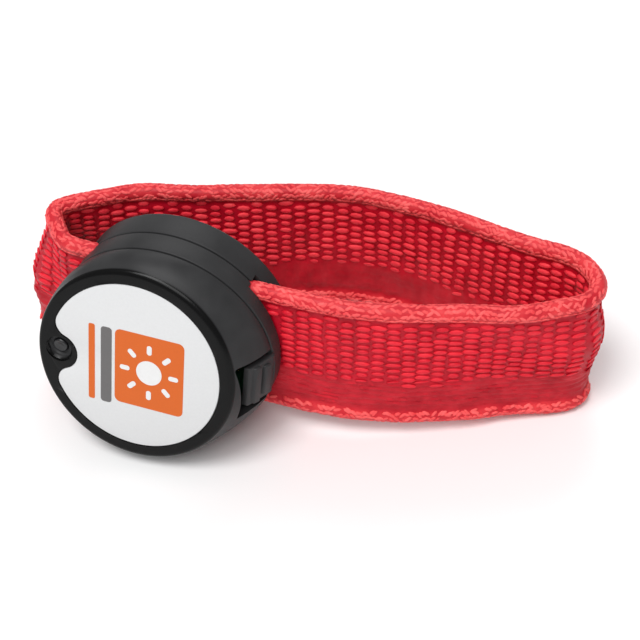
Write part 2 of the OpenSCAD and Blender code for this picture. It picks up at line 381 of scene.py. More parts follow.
def nylon(name, deep, bright, fibre=0.5, useShade=False, rim=None):
    material, tree, shader, coords = newMaterial(
        name, bright, 0.5, Specular_IOR_Level=0.22, Sheen_Weight=0.03, Sheen_Roughness=0.4,
        Sheen_Tint=(1.0, 0.3, 0.35, 1.0))
    broad = noiseNode(tree, coords, 260, 3)
    fine = noiseNode(tree, coords, 4200, 3)
    blend = remap(tree, broad, 0, 1)
    if useShade:
        shade = remap(tree, attribute(tree, "yarnShade"), 0, 0.5, 0, 1)
        blend = maths(tree, "MULTIPLY_ADD", blend, 0.5, shade)
    if rim:                                         # the woven edge and the band below the dashes are painted paler: painted light
        paintedLightMask = attribute(tree, "rimShade")
        deep, bright = mixColor(tree, paintedLightMask, deep, rim[0]), mixColor(tree, paintedLightMask, bright, rim[1])
    tree.links.new(mixColor(tree, blend, deep, bright), shader.inputs["Base Color"])
    tree.links.new(remap(tree, fine, 0.38, 0.55), shader.inputs["Roughness"])
    height = fine
    if useShade:                                    # filaments lie along each yarn
        ridges = maths(tree, "SINE", maths(tree, "MULTIPLY", attribute(tree, "yarnAcross"), 28.0))
        height = maths(tree, "MULTIPLY_ADD", ridges, 0.35, fine)
    addBump(tree, shader, height, fibre, 0.05)
    return material


paint = {
    "cap": capPlastic("cap black", (0.026, 0.026, 0.027)),
    "shell": mouldedPlastic("shell black", (0.026, 0.026, 0.027), 0.46, specular=0.2),
    "button": mouldedPlastic("button rubber", (0.006, 0.006, 0.007), 0.3, 0.2),
    "label": printedInk("label white", (0.66, 0.665, 0.67), 0.34),
    "orange": printedInk("print orange", (0.62, 0.115, 0.010)),
    "grey": printedInk("print grey", (0.13, 0.125, 0.125)),
    "white": printedInk("print white", (0.74, 0.74, 0.74)),
    # the ground is painted darker than the yarn floats: painted shade between the floats and painted
    # highlight on the floats
    "ground": nylon("webbing ground", (0.36, 0.001, 0.010), (0.56, 0.004, 0.021),
                    # paler ground at the edge: painted highlight of the lit bead, which also hides the shade
                    # between the edge yarns
                    rim=((0.46, 0.006, 0.018), (0.74, 0.045, 0.053))),
    "yarn": nylon("webbing yarn", (0.60, 0.006, 0.022), (0.86, 0.022, 0.041), 0.6, True),
    # the far inner face's yarn is a brighter copy of the same yarn: painted light, as that face lies in shade
    "innerYarnPaintedLight": nylon("webbing inner yarn painted light", (0.74, 0.014, 0.034), (0.97, 0.062, 0.080), 0.6, True),
    # the edge yarn is painted paler and pinker: painted highlight of the bead's lit top
    "edge": nylon("webbing edge yarn", (0.76, 0.040, 0.050), (0.97, 0.150, 0.145), 0.6, True),
    "steel": metal("plated steel", (0.50, 0.51, 0.53), 0.38),
    "cell": metal("cell steel", (0.72, 0.72, 0.72), 0.22),
    "gold": metal("contact gold", (0.83, 0.62, 0.28), 0.25),
    "board": mouldedPlastic("solder mask", (0.003, 0.030, 0.011), 0.35, 0.15),
    "lens": mouldedPlastic("led epoxy", (0.80, 0.74, 0.56), 0.2, 0.1),
    "amber": mouldedPlastic("plunger plastic", (0.50, 0.28, 0.06), 0.4),
    "chip": mouldedPlastic("chip epoxy", (0.02, 0.02, 0.022), 0.5),
    "holder": mouldedPlastic("holder plastic", (0.05, 0.05, 0.055), 0.5),
    "foam": mouldedPlastic("pad foam", (0.07, 0.07, 0.075), 0.9, 0.25),
    "guide": mouldedPlastic("light guide", (0.90, 0.72, 0.72), 0.3, 0.1),
}
print("materials made")


def newTree(name, inputs):
    tree = bpy.data.node_groups.new(name, "GeometryNodeTree")
    tree.interface.new_socket("Geometry", in_out="INPUT", socket_type="NodeSocketGeometry")
    for title, kind, value in inputs:
        socket = tree.interface.new_socket(title, in_out="INPUT", socket_type=kind)
        if value is not None:
            socket.default_value = value
    tree.interface.new_socket("Geometry", in_out="OUTPUT", socket_type="NodeSocketGeometry")
    return tree, tree.nodes.new("NodeGroupInput"), tree.nodes.new("NodeGroupOutput")


def growTree(obj, tree, values):
    modifier = obj.modifiers.new(tree.name, "NODES")
    modifier.node_group = tree
    for item in tree.interface.items_tree:
        if item.item_type == "SOCKET" and item.in_out == "INPUT" and item.name in values:
            modifier[item.identifier] = values[item.name]
    settle(obj)
    return obj


def named(tree, name, kind="FLOAT"):
    node = tree.nodes.new("GeometryNodeInputNamedAttribute")
    node.data_type = kind
    node.inputs["Name"].default_value = name
    return node.outputs["Attribute"]


def storeNamed(tree, geometry, name, value, domain):
    node = tree.nodes.new("GeometryNodeStoreNamedAttribute")
    node.data_type = "FLOAT"
    node.domain = domain
    node.inputs["Name"].default_value = name
    tree.links.new(geometry, node.inputs["Geometry"])
    tree.links.new(value, node.inputs["Value"])
    return node.outputs["Geometry"]


def alignRotation(tree, axis, vector, rotation=None):
    node = tree.nodes.new("FunctionNodeAlignRotationToVector")
    node.axis = axis
    if rotation is not None:
        node.pivot_axis = "X"
        tree.links.new(rotation, node.inputs["Rotation"])
    tree.links.new(vector, node.inputs["Vector"])
    return node.outputs["Rotation"]


def finishTree(tree, geometry, material, output):
    realize = tree.nodes.new("GeometryNodeRealizeInstances")
    paintNode = tree.nodes.new("GeometryNodeSetMaterial")
    tree.links.new(geometry, realize.inputs["Geometry"])
    tree.links.new(realize.outputs["Geometry"], paintNode.inputs["Geometry"])
    tree.links.new(material, paintNode.inputs["Material"])
    tree.links.new(paintNode.outputs["Geometry"], output.inputs["Geometry"])


def yarnTree():
    tree, given, output = newTree("yarnFloats", [
        ("Length", "NodeSocketFloat", 0.002), ("Width", "NodeSocketFloat", 0.001),
        ("Height", "NodeSocketFloat", 0.0006), ("Uneven", "NodeSocketFloat", 0.1),
        ("Segments", "NodeSocketInt", 8), ("Rings", "NodeSocketInt", 5),
        ("Seed", "NodeSocketInt", 1), ("Material", "NodeSocketMaterial", None)])
    links = tree.links
    yarn = tree.nodes.new("GeometryNodeMeshUVSphere")
    yarn.inputs["Radius"].default_value = 0.5
    links.new(given.outputs["Segments"], yarn.inputs["Segments"])
    links.new(given.outputs["Rings"], yarn.inputs["Rings"])
    position = tree.nodes.new("GeometryNodeInputPosition")
    parts = tree.nodes.new("ShaderNodeSeparateXYZ")
    links.new(position.outputs[0], parts.inputs[0])
    across = storeNamed(tree, yarn.outputs["Mesh"], "yarnAcross", parts.outputs["Y"], "POINT")
    smooth = tree.nodes.new("GeometryNodeSetShadeSmooth")
    links.new(across, smooth.inputs["Geometry"])
    size = tree.nodes.new("ShaderNodeCombineXYZ")
    for seed, (title, axis) in enumerate((("Length", "X"), ("Width", "Y"), ("Height", "Z"))):
        spread = tree.nodes.new("FunctionNodeRandomValue")
        spread.data_type = "FLOAT"
        links.new(maths(tree, "SUBTRACT", 1.0, given.outputs["Uneven"]), spread.inputs[2])
        links.new(maths(tree, "ADD", 1.0, given.outputs["Uneven"]), spread.inputs[3])
        shift = tree.nodes.new("FunctionNodeIntegerMath")
        shift.inputs[1].default_value = 7 * seed
        links.new(given.outputs["Seed"], shift.inputs[0])
        links.new(shift.outputs[0], spread.inputs["Seed"])
        scaled = maths(tree, "MULTIPLY", given.outputs[title], spread.outputs[1])
        links.new(maths(tree, "MULTIPLY", scaled, named(tree, "grow" + axis)), size.inputs[axis])
    rotation = alignRotation(tree, "X", named(tree, "lie", "FLOAT_VECTOR"))
    rotation = alignRotation(tree, "Z", named(tree, "out", "FLOAT_VECTOR"), rotation)
    place = tree.nodes.new("GeometryNodeInstanceOnPoints")
    links.new(given.outputs["Geometry"], place.inputs["Points"])
    links.new(smooth.outputs["Geometry"], place.inputs["Instance"])
    links.new(rotation, place.inputs["Rotation"])
    links.new(size.outputs[0], place.inputs["Scale"])
    shade = tree.nodes.new("FunctionNodeRandomValue")
    shade.data_type = "FLOAT"
    links.new(given.outputs["Seed"], shade.inputs["Seed"])
    shaded = storeNamed(tree, place.outputs["Instances"], "yarnShade", shade.outputs[1], "INSTANCE")
    finishTree(tree, shaded, given.outputs["Material"], output)
    return tree


def anchorPoints(name, anchors):
    mesh = bpy.data.meshes.new(name)
    mesh.from_pydata([a[0] * mm for a in anchors], [], [])
    for title, index in (("lie", 1), ("out", 2)):
        layer = mesh.attributes.new(title, "FLOAT_VECTOR", "POINT")
        layer.data.foreach_set("vector", [c for a in anchors for c in a[index]])
    for axis, index in (("X", 0), ("Y", 1), ("Z", 2)):
        layer = mesh.attributes.new("grow" + axis, "FLOAT", "POINT")
        layer.data.foreach_set("value", [a[3][index] for a in anchors])
    return addObject(name, mesh)


def softEdge(radius, z, round, outwards, steps=3):
    points = []
    for i in range(steps + 1):
        t = math.pi / 2 * i / steps
        points.append((radius - round + round * math.sin(t), z - outwards * (round - round * math.cos(t))))
    return points


def slotCutters():
    inside, outside = housing["slotIn"], housing["radius"] + 2
    half = housing["slotHalf"]
    low, high = housing["slotLow"], housing["slotHigh"]
    return [block("slot", (inside, -half, low), (outside, half, high)),
            block("slot", (-outside, -half, low), (-inside, half, high))]


pillar = {
    "angles": (65, 115, 245, 295), "out": 15.3, "radius": 1.9, "foot": 1.2,
    "bore": 1.62, "boreDeep": 1.1,             # for the case screws
}


def makeBackShell():
    seam, edge = housing["seam"], housing["backEdge"]
    profile = [(innerRadius - 4, housing["floor"]), (innerRadius - 0.4, housing["floor"]),
               (innerRadius, housing["floor"] + 0.4), (innerRadius, housing["planeA"] - 0.05)]
    profile += softEdge(housing["radius"], housing["planeA"], seam, 1)
    profile += reversed(softEdge(housing["radius"], 0, edge, -1, 5))
    rings = [circle(r, z) for r, z in profile]
    shell = loft("backShell", rings)
    pillars = []
    cutters = slotCutters()
    for angle in pillar["angles"]:
        spot = arc((0, 0), pillar["out"], angle, angle, 1)[0]
        post = [(pillar["radius"], pillar["foot"]), (pillar["radius"], housing["planeA"] - 0.1)]
        pillars.append(lathe("pillar", post, spot, 32))
        bore = [(pillar["bore"], -1), (pillar["bore"], pillar["boreDeep"])]
        cutters.append(lathe("bore", bore, spot, 40))
    carve(shell, cutters, 0.08)
    shell = join("back_shell_cover", [shell] + pillars)
    return finishPiece(shell, "wristband", paint["shell"], ["back_shell"])


tongue = {
    "height": 4.65,
    "half": 4.2,                  # half its width
    "turn": -5,                   # degrees round the housing
    "ribs": [(0.19, 1.0), (0.60, 0.25)],   # how far up, and how much narrower than the tongue
    "ribTall": 1.35,
    "ribProud": 0.35,
    "ribRoot": 0.8,
}


def makeTongue():
    planeB, height, half, turn = housing["planeB"], tongue["height"], tongue["half"], tongue["turn"]
    tall, proud, root = tongue["ribTall"], tongue["ribProud"], tongue["ribRoot"]
    lean = (housing["radius"] - face["radius"] + face["left"]) / (face["height"] - planeB)

    def sideAt(h):
        return housing["radius"] - lean * h

    plate = [(innerRadius - 0.1, planeB - 0.6), (innerRadius + 1.3, planeB - 0.6),
             (housing["radius"] - 0.15, planeB), (sideAt(height) - 0.2, planeB + height - 0.25),
             (sideAt(height) - 0.5, planeB + height), (sideAt(height) - 1.4, planeB + height),
             (innerRadius - 0.1, planeB + 0.4)]
    parts = [prism("plate", plate, half, turn, 0.15)]
    for at, narrower in tongue["ribs"]:
        h = at * height
        rib = [(sideAt(h) - root, planeB + h), (sideAt(h) + proud, planeB + h + 0.15),
               (sideAt(h + tall) + proud, planeB + h + tall - 0.15),
               (sideAt(h + tall) - root, planeB + h + tall)]
        parts.append(prism("rib", rib, half - narrower, turn, 0.22))
    return parts


def prism(name, outline, half, turn, round):
    ends = [[(*turned(x, y, math.radians(turn)), z) for x, z in outline] for y in (-half, half)]
    obj = loft(name, ends)
    soften(obj, round, 3)
    settle(obj)
    shadeSmooth(obj)
    return obj


def makeMiddleRing():
    seam, gap, neck = housing["seam"], housing["gap"], housing["radius"] - housing["gapDeep"]
    low, high = housing["planeA"], housing["planeB"]
    profile = [(innerRadius, low), (neck, low), (neck, low + gap)]
    profile += softEdge(housing["radius"], low + gap, seam, -1)
    profile += reversed(softEdge(housing["radius"], high - gap, seam, 1))
    profile += [(neck, high - gap), (neck, high), (innerRadius, high)]
    ring = loft("middleRing", [circle(r, z) for r, z in profile], closed=True)
    carve(ring, slotCutters(), 0.08)
    ring = join("middle_ring_band", [ring] + makeTongue())
    return finishPiece(ring, "wristband", paint["shell"], ["middle_ring"])


def labelOutline(grow=0.0, count=120):
    big, notch, turn = label["radius"] + grow, label["notch"] - grow, label["notchRound"] + grow
    out = label["buttonOut"]
    a = label["radius"] - label["notchRound"]
    b = label["notch"] + label["notchRound"]
    along = (a * a - b * b + out * out) / (2 * out)
    side = math.sqrt(a * a - along * along)
    toRim = math.degrees(math.atan2(side, -along))
    toNotch = math.degrees(math.atan2(side, out - along))
    points = arc((0, 0), big, -toRim, toRim, count)
    points += arc((-along, side), turn, toRim, 180 + toNotch, 14)[1:]
    points += arc((-out, 0), notch, toNotch, -toNotch, 24)[1:]
    points += arc((-along, -side), turn, 180 - toNotch, 360 - toRim, 14)[1:-1]
    tilt = -math.asin(label["notchUp"] / out)
    return [turned(x, y, tilt) for x, y in points]


def facePlate(name, outline, bottom, top, edge=0.0):
    rings = [[onFace(x, y, bottom) for x, y in outline(0)]]
    rings.append([onFace(x, y, top - edge) for x, y in outline(0)])
    if edge:
        rings.append([onFace(x, y, top - 0.3 * edge) for x, y in outline(-0.3 * edge)])
        rings.append([onFace(x, y, top) for x, y in outline(-edge)])
    return loft(name, rings)


capWindow = {"in": 9.25, "out": 24, "half": 5.4, "height": 6.9, "round": 0.5}


def makeFrontCap():
    seam, rim = housing["seam"], face["rim"]
    base, planeB = housing["radius"], housing["planeB"]
    faceEdge = [Vector(p) for p in faceCircle(face["radius"])]
    faceIn = [Vector(p) for p in faceCircle(face["radius"] - rim)]
    foot = [Vector(p) for p in circle(base, planeB + seam)]
    bend = [e + (f - e).normalized() * rim for e, f in zip(faceEdge, foot)]
    rings = [faceIn]
    for step in range(1, 8):                  # rounded rim
        t = step / 8
        rings.append([(1 - t) ** 2 * a + 2 * t * (1 - t) * e + t * t * b
                      for a, e, b in zip(faceIn, faceEdge, bend)])
    for step in range(7):                     # flank, a little bowed
        t = step / 6
        bow = face["swell"] * 4 * t * (1 - t)
        rings.append([b + (f - b) * t + Vector((f.x, f.y, 0)).normalized() * bow for b, f in zip(bend, foot)])
    for r, z in reversed(softEdge(base, planeB, seam, -1)[:-1]):
        rings.append(circle(r, z))
    rings.append(circle(innerRadius, planeB))
    ceiling = -face["recess"] - face["skin"]
    inside, fillet = face["radius"] - housing["wall"], 0.6
    rings.append(faceCircle(inside - fillet, ceiling - fillet))
    rings.append(faceCircle(inside - fillet - fillet, ceiling))
    cap = loft("frontCap", rings)
    spot = (button["x"], button["y"])
    faceHere = face["height"] - (button["y"] - face["up"]) * math.tan(face["rake"])
    floor, wide, soft = faceHere - button["pocketDeep"], button["pocket"], button["pocketRound"]
    pocket = lathe("pocket", [(wide - soft, floor), (wide, floor + soft), (wide, faceHere - 0.3),
                              (wide + soft, faceHere + 0.05), (wide + soft, faceHere + 2)], spot, 64)
    boreWall = [(button["radius"] + button["play"], 8), (button["radius"] + button["play"], 20)]
    bore = lathe("bore", boreWall, spot, 48)
    window = block("window", (capWindow["in"], -capWindow["half"], planeB - 1),
                   (capWindow["out"], capWindow["half"], planeB + capWindow["height"]),
                   capWindow["round"], tongue["turn"])
    recess = facePlate("recess", lambda grow: labelOutline(0.1 + grow), -face["recess"], 2)
    around = button["radius"] + button["bossWall"]
    boss = lathe("boss", [(around, floor - button["bossDeep"]), (around, floor + 0.1)], spot, 48)
    carve(boss, [lathe("bore", boreWall, spot, 48)])
    carve(cap, [recess, pocket, bore, window], 0.1)
    cap = join("front_cap_shell", [cap, boss])
    return finishPiece(cap, "cap", paint["cap"], ["front_cap"])


def makeLabel():
    bottom = -face["recess"] + label["lift"]
    plate = facePlate("face_label_plate", labelOutline, bottom, bottom + label["thick"], label["edge"])
    return finishPiece(plate, "cap", paint["label"], ["face_label"])


def makeButton():
    top, low, r = button["top"], button["low"], button["radius"]
    flange = button["flange"]
    profile = [(0.3, low), (0.9, low), (0.9, low + 0.6), (flange - 0.1, low + 0.6), (flange, low + 0.7),
               (flange, low + 1.2), (flange - 0.1, low + 1.3), (r, low + 1.35), (r, top - 0.35)]
    profile += arc((r - 0.35, top - 0.35), 0.35, 0, 90, 5)[1:]
    profile += [(r * 0.55, top - 0.06), (r * 0.35, top - 0.14), (r * 0.12, top - 0.17)]    # dished top
    cap = lathe("power_button_cap", profile, (button["x"], button["y"]), 48)
    return finishPiece(cap, "button", paint["button"], ["power_button"])


makeBackShell()
makeMiddleRing()
makeFrontCap()
makeLabel()
makeButton()
print("housing made")


webbing = {
    "half": webHigh[2],           # half the webbing's width
    "lie": -5.3,                  # where it passes through the housing
    "end": 11.05,                 # where it ends inside the housing
    "reach": 65.6,                # right bend from the housing's axis
    "depth": 23.6,                # far run from the row's middle
    "bead": 1.38,                 # radius of the woven edge
    "field": 0.86,                # half thickness between the edges
    "crease": 0.62,
    "dashTop": 9.3,               # the woven dashes lie between these heights
    "dashBottom": -2.9,
    "plainBandPaintedLight": 0.24,           # the band below the dashes is painted paler: painted light
    "column": 2.4,                # spacing of the dashes along and down the webbing
    "outerRow": 1.25,
    "innerRow": 1.38,
    "stations": 620,
    "acrossFace": 56,
    "edgeStep": 0.68,             # spacing of the yarns that bind the edges
    "edgeRows": 7,
    "edgeGaps": 0.12,
    "leftBulge": 4.2,
    "rightBulge": 1.15,
    "fullness": 1.0,              # how far the two long runs bow apart
    "flare": 2.0,                 # lean of the near run's top edge before the bend
    "seed": 4,
}


def webbingCorners():
    r, reach, depth = housing["radius"], webbing["reach"], webbing["depth"]
    lie, end = webbing["lie"], webbing["end"]
    # x, y and bend radius of each corner, from the right slot round to the left one
    return [(end, lie, 0), (r + 10.5, lie, 40), (reach, 0.45 * depth, 5), (reach - 3.2, 0.78 * depth, 7),
            (24, depth, 40), (-r + 2.5, 0.45 * depth, 20), (-r - 7.7, 0.11 * depth, 2), (-r - 1.2, lie, 2.4),
            (-end, lie, 0)]


def roundedRoute(corners):
    points = [Vector(corners[0][:2])]
    for before, (x, y, radius), after in zip(corners, corners[1:], corners[2:]):
        corner = Vector((x, y))
        back, ahead = Vector(before[:2]) - corner, Vector(after[:2]) - corner
        turn = math.pi - back.angle(ahead)
        room = min(back.length, ahead.length) / 2
        reach = min(radius * math.tan(turn / 2), room)
        radius = reach / math.tan(turn / 2)
        start, stop = corner + back.normalized() * reach, corner + ahead.normalized() * reach
        middle = corner + (back.normalized() + ahead.normalized()).normalized() * radius / math.cos(turn / 2)
        a, b = start - middle, stop - middle
        sweep = a.angle_signed(b)
        steps = max(4, int(abs(sweep) * 12))
        for i in range(steps + 1):
            points.append(middle + Vector(turned(a.x, a.y, -sweep * i / steps)))
    points.append(Vector(corners[-1][:2]))
    return points


def evenSpacing(points, count):
    lengths = [0.0]
    for a, b in zip(points, points[1:]):
        lengths.append(lengths[-1] + (b - a).length)
    even, at = [], 0
    for i in range(count):
        want = lengths[-1] * i / (count - 1)
        while at < len(points) - 2 and lengths[at + 1] < want:
            at += 1
        span = max(lengths[at + 1] - lengths[at], 1e-9)
        even.append(points[at].lerp(points[at + 1], min(1, (want - lengths[at]) / span)))
    return even, lengths[-1]


route, routeLength = evenSpacing(roundedRoute(webbingCorners()), webbing["stations"])
for _ in range(60):                       # woven cloth has no sudden change of bend
    route = [route[0]] + [(a + b * 2 + c) / 4 for a, b, c in zip(route, route[1:], route[2:])] + [route[-1]]
route, routeLength = evenSpacing(route, webbing["stations"])
tangents = [(b - a).normalized() for a, b in zip([route[0]] + route, route[1:] + [route[-1]])]
foldAt = min(range(len(route)), key=lambda i: route[i].x) * routeLength / (webbing["stations"] - 1)
bendAt = max(range(len(route)), key=lambda i: route[i].x) * routeLength / (webbing["stations"] - 1)
print("webbing route: %.1f mm" % routeLength)


def routePoint(s):
    t = min(max(s / routeLength, 0), 1) * (len(route) - 1)
    i = min(int(t), len(route) - 2)
    along = tangents[i].lerp(tangents[i + 1], t - i).normalized()
    return route[i].lerp(route[i + 1], t - i), along, Vector((along.y, -along.x))


def bell(value, centre, width):
    return math.exp(-((value - centre) / width) ** 2)


def ease(value, low, high):
    t = min(max((value - low) / (high - low), 0), 1)
    return t * t * (3 - 2 * t)


def drift(a, b, c=0.0):
    return noise.noise(Vector((a, b, c)))


def freeAt(s):                    # flat where it enters the housing
    return ease(min(s, routeLength - s), 9, 17)


def strandShift(s, z):
    low = ease(-z, -12, 2)
    shift = webbing["leftBulge"] * bell(s, foldAt + 0.5, 7.5) * low * (1 - 0.15 * ease(-z, 7, 12.5))
    shift += webbing["fullness"] * (bell(s, 32, 15) + bell(s, 102, 26))       # near run, then far run
    shift += webbing["flare"] * ease(z, -9, 11) * bell(s, bendAt - 12.5, 10)
    shift += webbing["rightBulge"] * (bell(z, 1.5, 5.2) - 0.35 * bell(z, 7.4, 1.8)) * bell(s, bendAt, 9)
    shift += 0.5 * drift(s / 15, z / 13, 3.1) + 0.24 * drift(s / 5.5, z / 4.5, 8.2)    # soft dents
    diagonal = (s - foldAt) * 0.8 + z                      # creases running down from the fold
    shift += 0.42 * math.sin(diagonal * 1.25) * bell(s, foldAt + 6, 6.5) * ease(-z, -4, 4)
    return shift * freeAt(s)


def faceThickness(z):
    half, bead = webbing["half"], webbing["bead"]
    away = abs(z) - (half - bead)
    if away >= 0:
        return math.sqrt(max(bead * bead - away * away, 0))
    dip = bell(abs(z), half - 2 * bead - 0.35, 0.55)
    body = webbing["field"] - (webbing["field"] - webbing["crease"]) * dip
    return body + (bead - body) * ease(away, -1.25, 0)


def weaveRelief(s, z, side):
    half, bead = webbing["half"], webbing["bead"]
    inField = ease(half - 2 * bead - abs(z), -0.3, 1.0)
    dashed = ease(z, webbing["dashBottom"] - 1.0, webbing["dashBottom"] + 0.6)
    turn = 2 * math.pi * s / webbing["column"]
    columns = -0.10 * (0.5 + 0.5 * math.cos(turn)) * dashed
    wander = 0.55 * drift(s / 6, z / 3, 5.0 + side)
    ripples = 0.10 * math.sin(2 * math.pi * (z + wander) / 1.05 + 0.5 * math.sin(turn))
    rough = 0.10 * drift(s / 1.1, z / 0.9, 1.0 + side)
    plain = 1.4 * ripples
    if side < 0:
        plain = 0.4 * ripples + 0.09 * math.cos(turn + wander)
    return inField * (columns + plain * (1 - dashed) + rough * 0.6)


def swayAt(s):                    # slow rise and fall of the edges
    return 0.22 * drift(s / 9, 2.0, 7.0) * freeAt(s)


def webbingPoint(s, z, side, lift=0.0):
    at, along, out = routePoint(s)
    w = side * (faceThickness(z) + weaveRelief(s, z, side) + lift) + strandShift(s, z)
    return Vector((at.x + out.x * w, at.y + out.y * w, z + swayAt(s) * z / webbing["half"]))


def webbingNormal(s, z, side):
    step = 0.15
    a = webbingPoint(s + step, z, side) - webbingPoint(s - step, z, side)
    b = webbingPoint(s, z + step, side) - webbingPoint(s, z - step, side)
    n = a.cross(b).normalized()
    out = routePoint(s)[2]
    return n if n.dot(Vector((out.x, out.y, 0)) * side) > 0 else -n


def acrossSteps():
    half, bead = webbing["half"], webbing["bead"]
    steps = [half - bead + bead * math.cos(math.pi / 2 * i / 7) for i in range(8)]
    inner = webbing["acrossFace"]
    edge = half - bead
    steps += [edge - 2 * edge * i / inner for i in range(1, inner)]
    return steps + [-z for z in reversed(steps[:8])]


def makeSleeve():
    levels = acrossSteps()
    section = [(z, 1) for z in levels] + [(z, -1) for z in reversed(levels[1:-1])]
    verts = []
    for i in range(webbing["stations"]):
        s = routeLength * i / (webbing["stations"] - 1)
        verts += [webbingPoint(s, z, side) * mm for z, side in section]
    count = len(section)
    faces = []
    for i in range(webbing["stations"] - 1):
        a, b = i * count, (i + 1) * count
        faces += [(a + j, a + (j + 1) % count, b + (j + 1) % count, b + j) for j in range(count)]
    faces.append(tuple(range(count)))
    faces.append(tuple(range(len(verts) - count, len(verts))))
    sleeve = makeObject("webbing_ground", verts, faces, 60)
    field = webbing["half"] - 2 * webbing["bead"]
    paintedLightValues = []
    for vertex in sleeve.data.vertices:
        z = vertex.co.z / mm
        # the edge and the band below the dashes are painted paler: painted light
        plain = webbing["plainBandPaintedLight"] * ease(webbing["dashBottom"] - z, -0.3, 1.2)
        paintedLightValues.append(max(ease(abs(z), field - 0.1, field + 0.5), plain))
    sleeve.data.attributes.new("rimShade", "FLOAT", "POINT").data.foreach_set("value", paintedLightValues)
    return finishPiece(sleeve, "wristband", paint["ground"], ["webbing_sleeve"])


def outsideHousing(s, z):
    p = routePoint(s)[0]
    return abs(p.x) > math.sqrt(housing["radius"] ** 2 - z * z) + 0.25 or p.y > 0


def dashAnchors(side, row):
    pick = random.Random(webbing["seed"] + side)
    anchors = []
    columns = int(routeLength / webbing["column"])
    for i in range(columns):
        middle = (i + 0.5) * webbing["column"]
        lean = pick.uniform(-0.03, 0.03)
        start = webbing["dashTop"] - (0.5 * (i % 2) + pick.uniform(0, 0.25)) * row     # laid like bricks
        level = start
        while level > -webbing["half"] + 2 * webbing["bead"] + 0.4:
            z = level + pick.uniform(-0.07, 0.07)
            s = middle + lean * (z - 4) + 0.16 * drift(z / 2.2, i * 0.7, 4.0) + pick.uniform(-0.06, 0.06)
            level -= row
            if not outsideHousing(s, z):
                continue
            fade = ease(z, webbing["dashBottom"] - 1.6, webbing["dashBottom"] + 0.8)
            soft = 0.62 + 0.5 * drift(s / 13, z / 6, 9.0 + side)       # the weave shows more in some places
            if side > 0:
                soft -= 0.6 * ease(z, 2.0, 6.0) * bell(s, bendAt - 9, 13)
            strength = (0.22 + 0.78 * fade) * min(max(soft, 0.3), 1.0)
            if fade < pick.uniform(0.06, 0.4):      # the dashes end unevenly above the plain band
                continue
            out = webbingNormal(s, z, side)
            ahead = webbingPoint(s + 0.4, z + pick.uniform(-0.035, 0.035), side)
            ahead = (ahead - webbingPoint(s - 0.4, z, side)).normalized()
            ends = [webbingPoint(s + step, z, side) for step in (-1.1, 0, 1.1)]
            stretch = (ends[2] - ends[0]).length / 2.2
            bent = (ends[1] - ends[0]).angle(ends[2] - ends[1])
            long = min(max(stretch, 0.75), 1.3) / (1 + 1.3 * bent)
            grow = ((0.82 + 0.18 * strength) * long, 0.7 + 0.3 * fade, strength / (1 + bent))
            anchors.append((webbingPoint(s, z, side, 0.02), ahead, out, grow))
    return anchors


def beadAnchors(edge):
    pick = random.Random(webbing["seed"] + 10 + edge)
    anchors = []
    count = int(routeLength / webbing["edgeStep"])
    around = webbing["edgeRows"]
    core = webbing["half"] - webbing["bead"]
    for i in range(count):
        for j in range(around):
            s = (i + 0.5 + 0.5 * (j % 2)) * webbing["edgeStep"] + pick.uniform(-0.25, 0.25)
            if not outsideHousing(s, webbing["half"]) or pick.random() < webbing["edgeGaps"]:
                continue
            angle = math.radians(-58 + 296 * (j + 0.5) / around + pick.uniform(-10, 10))
            at, along, out = routePoint(s)
            out3, up = Vector((out.x, out.y, 0)), Vector((0, 0, edge))
            normal = out3 * math.cos(angle) + up * math.sin(angle)
            z = edge * (core + webbing["bead"] * math.sin(angle))
            deep = webbing["bead"] * 0.94              # the yarns lie a little into the edge
            centre = Vector((at.x, at.y, 0)) + out3 * (strandShift(s, z) + deep * math.cos(angle))
            centre.z = edge * (core + deep * math.sin(angle) + swayAt(s))
            forward = Vector((along.x, along.y, 0))
            slant = math.radians(pick.choice((-1, 1)) * pick.uniform(8, 46))
            lie = forward * math.cos(slant) + normal.cross(forward) * math.sin(slant)
            anchors.append((centre, lie, normal, (1.0, 1.0, 1.0)))
    return anchors


yarns = {                         # length, width, height, segments and finish of one yarn's loop
    "webbing_outer_floats": (3.25, 0.92, 0.82, 8, "yarn"),
    "webbing_inner_floats": (2.8, 1.05, 0.86, 8, "innerYarnPaintedLight"),
    "webbing_top_edge_yarns": (1.5, 0.62, 0.34, 6, "edge"),
    "webbing_bottom_edge_yarns": (1.5, 0.62, 0.34, 6, "edge"),
}


def makeYarns():
    tree = yarnTree()
    places = [dashAnchors(1, webbing["outerRow"]), dashAnchors(-1, webbing["innerRow"]),
              beadAnchors(1), beadAnchors(-1)]
    for seed, (name, anchors) in enumerate(zip(yarns, places)):
        length, width, height, segments, finish = yarns[name]
        obj = anchorPoints(name, anchors)
        growTree(obj, tree, {"Length": length * mm, "Width": width * mm, "Height": height * mm,
                             "Uneven": 0.16, "Segments": segments, "Rings": 5,
                             "Seed": seed + 1, "Material": paint[finish]})
        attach(obj, "wristband")
        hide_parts("webbing_sleeve")
        print(name, len(anchors), "yarns")


lightGuide = {"width": 14.0, "thick": 1.1, "stations": 320, "proud": 0.3}     # proud of the webbing's ends


def makeLightGuide():
    half, thick = lightGuide["width"] / 2, lightGuide["thick"] / 2
    levels = [half - thick - (2 * half - 2 * thick) * i / 10 for i in range(1, 10)]
    section = arc((half - thick, 0), thick, -90, 90, 6) + [(z, thick) for z in levels]
    section += arc((thick - half, 0), thick, 90, 270, 6) + [(z, -thick) for z in reversed(levels)]
    rings = []
    last = lightGuide["stations"] - 1
    for i in range(last + 1):
        s = routeLength * i / last
        at, along, out = routePoint(s)
        ends = lightGuide["proud"] * ((i == last) - (i == 0))
        rings.append([(at.x + out.x * (w + strandShift(s, z)) + along.x * ends,
                       at.y + out.y * (w + strandShift(s, z)) + along.y * ends, z) for z, w in section])
    guide = loft("light_guide_strip", rings, place=lambda p: Vector(p) * mm)
    return finishPiece(guide, "wristband", paint["guide"], ["light_guide"])


makeLightGuide()
makeSleeve()
makeYarns()
print("webbing made")


